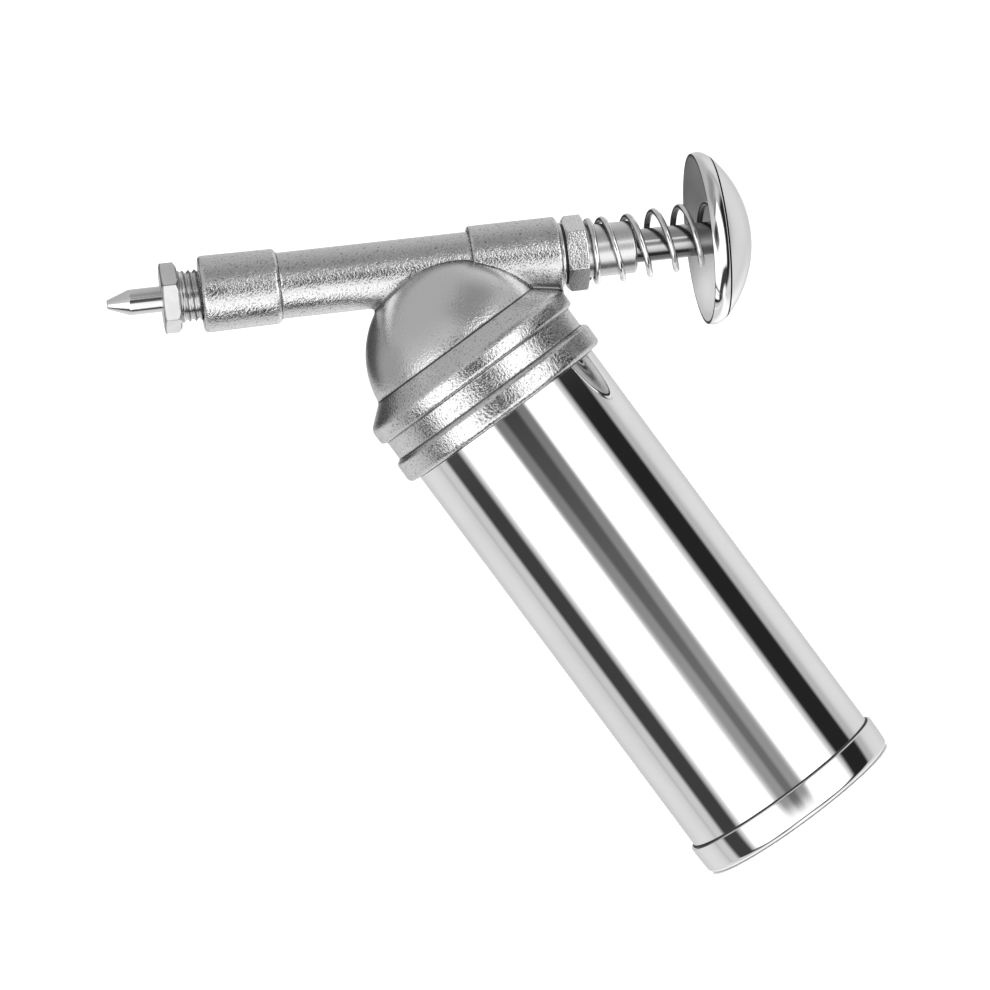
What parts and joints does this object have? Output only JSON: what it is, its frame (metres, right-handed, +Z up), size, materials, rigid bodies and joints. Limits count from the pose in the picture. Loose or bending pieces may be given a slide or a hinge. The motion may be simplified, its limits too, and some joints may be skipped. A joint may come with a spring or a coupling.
{
  "type": "push-type grease gun",
  "caption": "Slim metal hand grease gun: upright screw-on reservoir under a domed cast head, slanted pump barrel with needle nozzle and sprung palm button.",
  "frame": {"origin": "centre of the flat foot of the reservoir's bottom cap, which the tool stands on", "axes": "+Z up the reservoir's axis. The pump barrel lies in the plane Y = 0, with the nozzle end towards -X and up by 30 degrees and the palm button towards +X and down by 30 degrees. +Y completes the right-handed frame."},
  "size_m": [0.1219, 0.0496, 0.1725],
  "materials": {
    "tube_chrome": "bright mirror chrome plate",
    "cap_chrome": "bright chrome plate on a stamped cap",
    "cast_head": "satin plated casting with a fine sand grain",
    "plated_steel": "satin nickel plated steel",
    "polished_steel": "polished ground steel",
    "button_chrome": "polished chrome plate on a pressed dome",
    "spring_wire": "bright drawn spring wire",
    "zinc_steel": "bright zinc plated steel",
    "dark_washer": "dark oiled steel",
    "seal_rubber": "black nitrile rubber",
    "packing_fibre": "graphited packing",
    "copper": "soft copper sealing ring",
    "brass": "plain brass"
  },
  "bodies": {
    "reservoir": {"cylinder_tube": "tube_chrome", "bottom_cap": "cap_chrome", "follower_spring": "spring_wire"},
    "follower": {"follower_plate": "zinc_steel", "follower_seal": "seal_rubber", "follower_backing": "zinc_steel", "follower_rivet": "zinc_steel"},
    "neck_gasket": {"tube_gasket": "seal_rubber"},
    "head": {"head_casting": "cast_head", "nozzle_body": "plated_steel", "nozzle_tip": "polished_steel", "nozzle_seal": "copper", "check_spring": "spring_wire", "gland_nut": "cast_head", "gland_washer": "dark_washer", "packing_rings": "packing_fibre", "packing_washer": "brass", "return_spring": "spring_wire"},
    "check_ball": {"check_ball": "polished_steel"},
    "spring_seat": {"spring_seat": "zinc_steel"},
    "plunger": {"plunger_rod": "polished_steel", "plunger_o_ring": "seal_rubber", "palm_button": "button_chrome", "button_boss": "zinc_steel"}
  },
  "joints": [
    {"name": "follower_travel", "type": "slide", "parent": "reservoir", "child": "follower", "axis": [0, 0, -1], "range_m": [0, 0.08], "stiffness_N_per_m": 40, "springref_m": -0.03, "deforming": ["follower_spring"]},
    {"name": "head_lift", "type": "slide", "parent": "reservoir", "child": "neck_gasket", "axis": [0, 0, 1], "range_m": [0, 0.0082]},
    {"name": "head_unscrew", "type": "hinge", "parent": "neck_gasket", "child": "head", "pos_m": [0, 0, 0.11], "axis": [0, 0, 1], "range_deg": [0, 1440]},
    {"name": "plunger_push", "type": "slide", "parent": "head", "child": "spring_seat", "axis": [-0.866, 0, 0.5], "range_m": [0, 0.02], "stiffness_N_per_m": 1200, "springref_m": -0.01, "deforming": ["return_spring"]},
    {"name": "button_spin", "type": "hinge", "parent": "spring_seat", "child": "plunger", "pos_m": [0, 0, 0.1408], "axis": [0.866, 0, -0.5], "continuous": true},
    {"name": "check_ball_lift", "type": "slide", "parent": "head", "child": "check_ball", "axis": [-0.866, 0, 0.5], "range_m": [0, 0.002], "stiffness_N_per_m": 300, "springref_m": -0.003, "deforming": ["check_spring"]}
  ],
  "couplings": [
    {"joint": "head_lift", "follows": "head_unscrew", "m_per_rad": 0.00031831}
  ]
}
